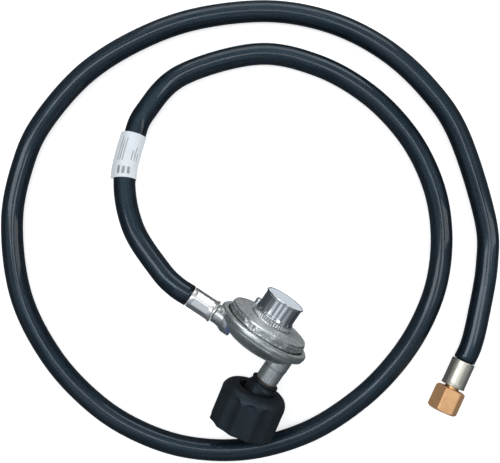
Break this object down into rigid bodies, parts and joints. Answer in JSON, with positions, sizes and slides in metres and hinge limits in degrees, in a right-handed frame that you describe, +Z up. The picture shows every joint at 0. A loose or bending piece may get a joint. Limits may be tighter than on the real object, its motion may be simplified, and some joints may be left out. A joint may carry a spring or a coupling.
{
  "type": "gas regulator with hose",
  "caption": "Low-pressure gas regulator with a bottle hand nut, an adjusting tower under a chrome cap, and a rubber hose that ends in a brass swivel nut, lying loosely coiled.",
  "frame": {"origin": "on the surface that the object lies on, under the middle of the regulator's own box, which leaves out the hose and its fitting", "axes": "+Z up; the regulator's axis runs towards +Y, tipped up 9.4 degrees, with the bottle connection towards -Y and the hose leaving towards -X"},
  "size_m": [0.3575, 0.3297, 0.0649],
  "materials": {
    "cast_zinc": "die-cast zinc, tumbled to a soft grey-green sheen",
    "chrome": "bright plated",
    "brass": "machined, lightly dulled",
    "steel": "zinc-plated pressing",
    "spring_steel": "drawn wire",
    "ferrule_steel": "nickel-plated, crimped",
    "nut_plastic": "moulded, satin",
    "bushing_plastic": "moulded, smooth",
    "hose_rubber": "extruded, glossy, faint fabric imprint",
    "inner_rubber": "moulded, matt",
    "label_film": "white film, wrapped"
  },
  "bodies": {
    "body": {"lower_body": "cast_zinc", "bonnet": "cast_zinc", "vent_screen": "steel", "lever_bracket": "steel", "lever_pin": "steel", "orifice": "brass", "inlet_nipple": "brass", "thermal_bushing": "bushing_plastic", "check_retainer": "steel", "outlet_barb": "brass", "ferrule_regulator": "ferrule_steel", "hose_end_regulator": "hose_rubber", "hose": "hose_rubber", "hose_label": "label_film", "ferrule_fitting": "ferrule_steel", "hose_end_fitting": "hose_rubber", "flare_tail": "brass"},
    "nut_washer": {"slip_washer": "brass"},
    "coupling_nut": {"coupling_nut": "nut_plastic"},
    "closing_cap": {"closing_cap": "chrome"},
    "spring_button": {"spring_button": "steel"},
    "adjusting_screw": {"adjusting_screw": "brass"},
    "diaphragm_stack": {"diaphragm_plate": "steel", "diaphragm_post": "brass", "stack_nut": "brass", "diaphragm": "inner_rubber", "main_spring": "spring_steel"},
    "lever": {"lever": "steel"},
    "valve": {"valve_holder": "brass", "seat_disc": "inner_rubber"},
    "check_poppet": {"check_poppet": "brass", "check_spring": "spring_steel"},
    "swivel_nut": {"swivel_nut": "brass"}
  },
  "joints": [
    {"name": "coupling_swing", "type": "hinge", "parent": "body", "child": "nut_washer", "pos_m": [0.0237, -0.02408, 0.02511], "axis": [0, 0, 1], "range_deg": [-22.4, 0]},
    {"name": "coupling_spin", "type": "hinge", "parent": "nut_washer", "child": "coupling_nut", "pos_m": [0.0237, -0.02408, 0.02511], "axis": [-0.1916, 0.9678, 0.1634], "continuous": true},
    {"name": "cap_pull", "type": "slide", "parent": "body", "child": "closing_cap", "axis": [0, 0.9866, 0.1634], "range_m": [0, 0.015]},
    {"name": "screw_travel", "type": "slide", "parent": "body", "child": "spring_button", "axis": [0, 0.9866, 0.1634], "range_m": [-0.003, 0.002], "deforming": ["main_spring"]},
    {"name": "screw_turn", "type": "hinge", "parent": "spring_button", "child": "adjusting_screw", "pos_m": [0.0039, 0.0214, 0.03265], "axis": [0, 0.9866, 0.1634], "range_deg": [-725, 485]},
    {"name": "diaphragm_travel", "type": "slide", "parent": "body", "child": "diaphragm_stack", "axis": [0, 0.9866, 0.1634], "range_m": [0, 0.0015], "stiffness_N_per_m": 800, "springref_m": -0.00625, "deforming": ["main_spring", "diaphragm"]},
    {"name": "lever_tilt", "type": "hinge", "parent": "body", "child": "lever", "pos_m": [0.0179, 0.0176, 0.03202], "axis": [0, 0.1634, -0.9866], "range_deg": [0, 6.2]},
    {"name": "valve_lift", "type": "slide", "parent": "body", "child": "valve", "axis": [0, -0.9866, -0.1634], "range_m": [0, 0.00065]},
    {"name": "poppet_travel", "type": "slide", "parent": "body", "child": "check_poppet", "axis": [0, 0.9866, 0.1634], "range_m": [0, 0.0018], "stiffness_N_per_m": 50, "springref_m": -0.002, "deforming": ["check_spring"]},
    {"name": "swivel_spin", "type": "hinge", "parent": "body", "child": "swivel_nut", "pos_m": [0.1319, 0.078, 0.0095], "axis": [0.1571, -0.9876, -0.0001], "continuous": true}
  ],
  "couplings": [
    {"joint": "screw_turn", "follows": "screw_travel", "rad_per_m": 4188.8},
    {"joint": "lever_tilt", "follows": "diaphragm_travel", "rad_per_m": 71.43},
    {"joint": "valve_lift", "follows": "diaphragm_travel", "ratio": 0.4143}
  ]
}
